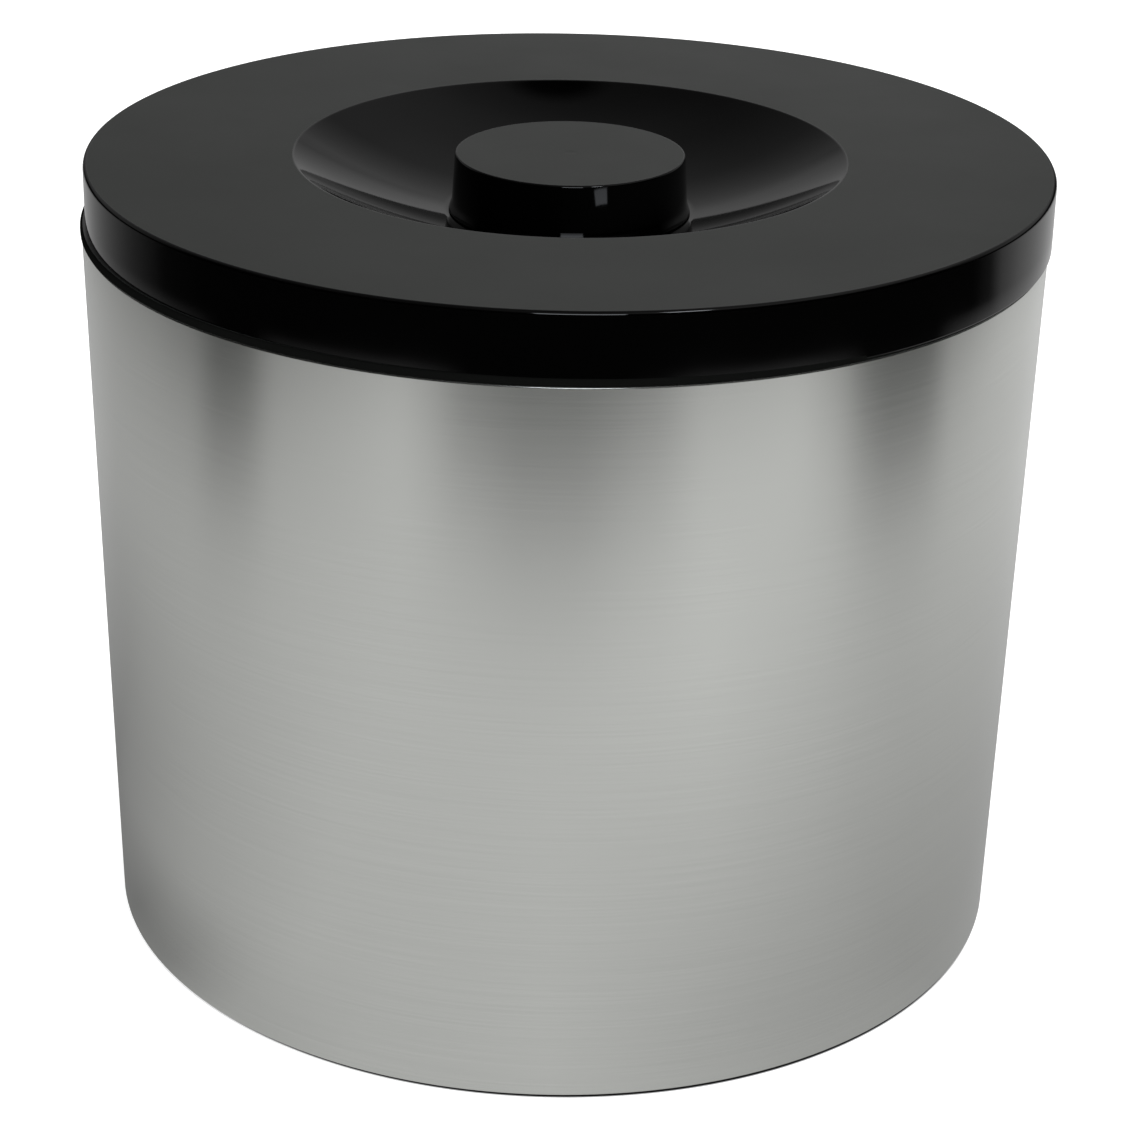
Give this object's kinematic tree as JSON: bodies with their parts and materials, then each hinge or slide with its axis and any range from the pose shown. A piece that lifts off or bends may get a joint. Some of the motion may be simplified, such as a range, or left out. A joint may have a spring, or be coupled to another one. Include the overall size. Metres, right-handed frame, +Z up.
{
  "type": "ice bucket",
  "caption": "Round insulated bar ice bucket: brushed aluminium drum, black liner and base, lift-off black lid with a knob in a dished recess, lift-out drainer.",
  "frame": {"origin": "middle of the foot ring, on the surface that the bucket stands on", "axes": "+Z up along the bucket's axis of revolution; +X is the side to which the loose lid rests 1 mm off centre, and +Y is at right angles to it, away from the viewer"},
  "size_m": [0.2933, 0.2928, 0.2441],
  "materials": {
    "brushed_aluminium": "fine circumferential brushing, satin",
    "lid_plastic": "polished sides and dish, fine satin texture on the flat tops",
    "tub_plastic": "satin",
    "base_plastic": "matte",
    "drainer_plastic": "satin",
    "foam": "matte, beaded white foam",
    "zinc_steel": "zinc plated"
  },
  "bodies": {
    "bucket": {"outer_casing": "brushed_aluminium", "inner_liner": "tub_plastic", "wall_insulation": "foam", "base_insulation": "foam", "base_plate": "base_plastic", "base_screw_1": "zinc_steel", "base_screw_2": "zinc_steel", "base_screw_3": "zinc_steel", "base_screw_4": "zinc_steel"},
    "lid": {"lid_shell": "lid_plastic", "lid_knob": "lid_plastic", "knob_screw": "zinc_steel", "knob_washer": "zinc_steel", "lid_insulation": "foam", "lid_inner_cover": "tub_plastic"},
    "drainer": {"drainer": "drainer_plastic"}
  },
  "joints": [
    {"name": "lid_lift", "type": "slide", "parent": "bucket", "child": "lid", "axis": [0, 0, 1], "range_m": [0, 0.2]},
    {"name": "drainer_lift", "type": "slide", "parent": "bucket", "child": "drainer", "axis": [0, 0, 1], "range_m": [0, 0.17]}
  ]
}
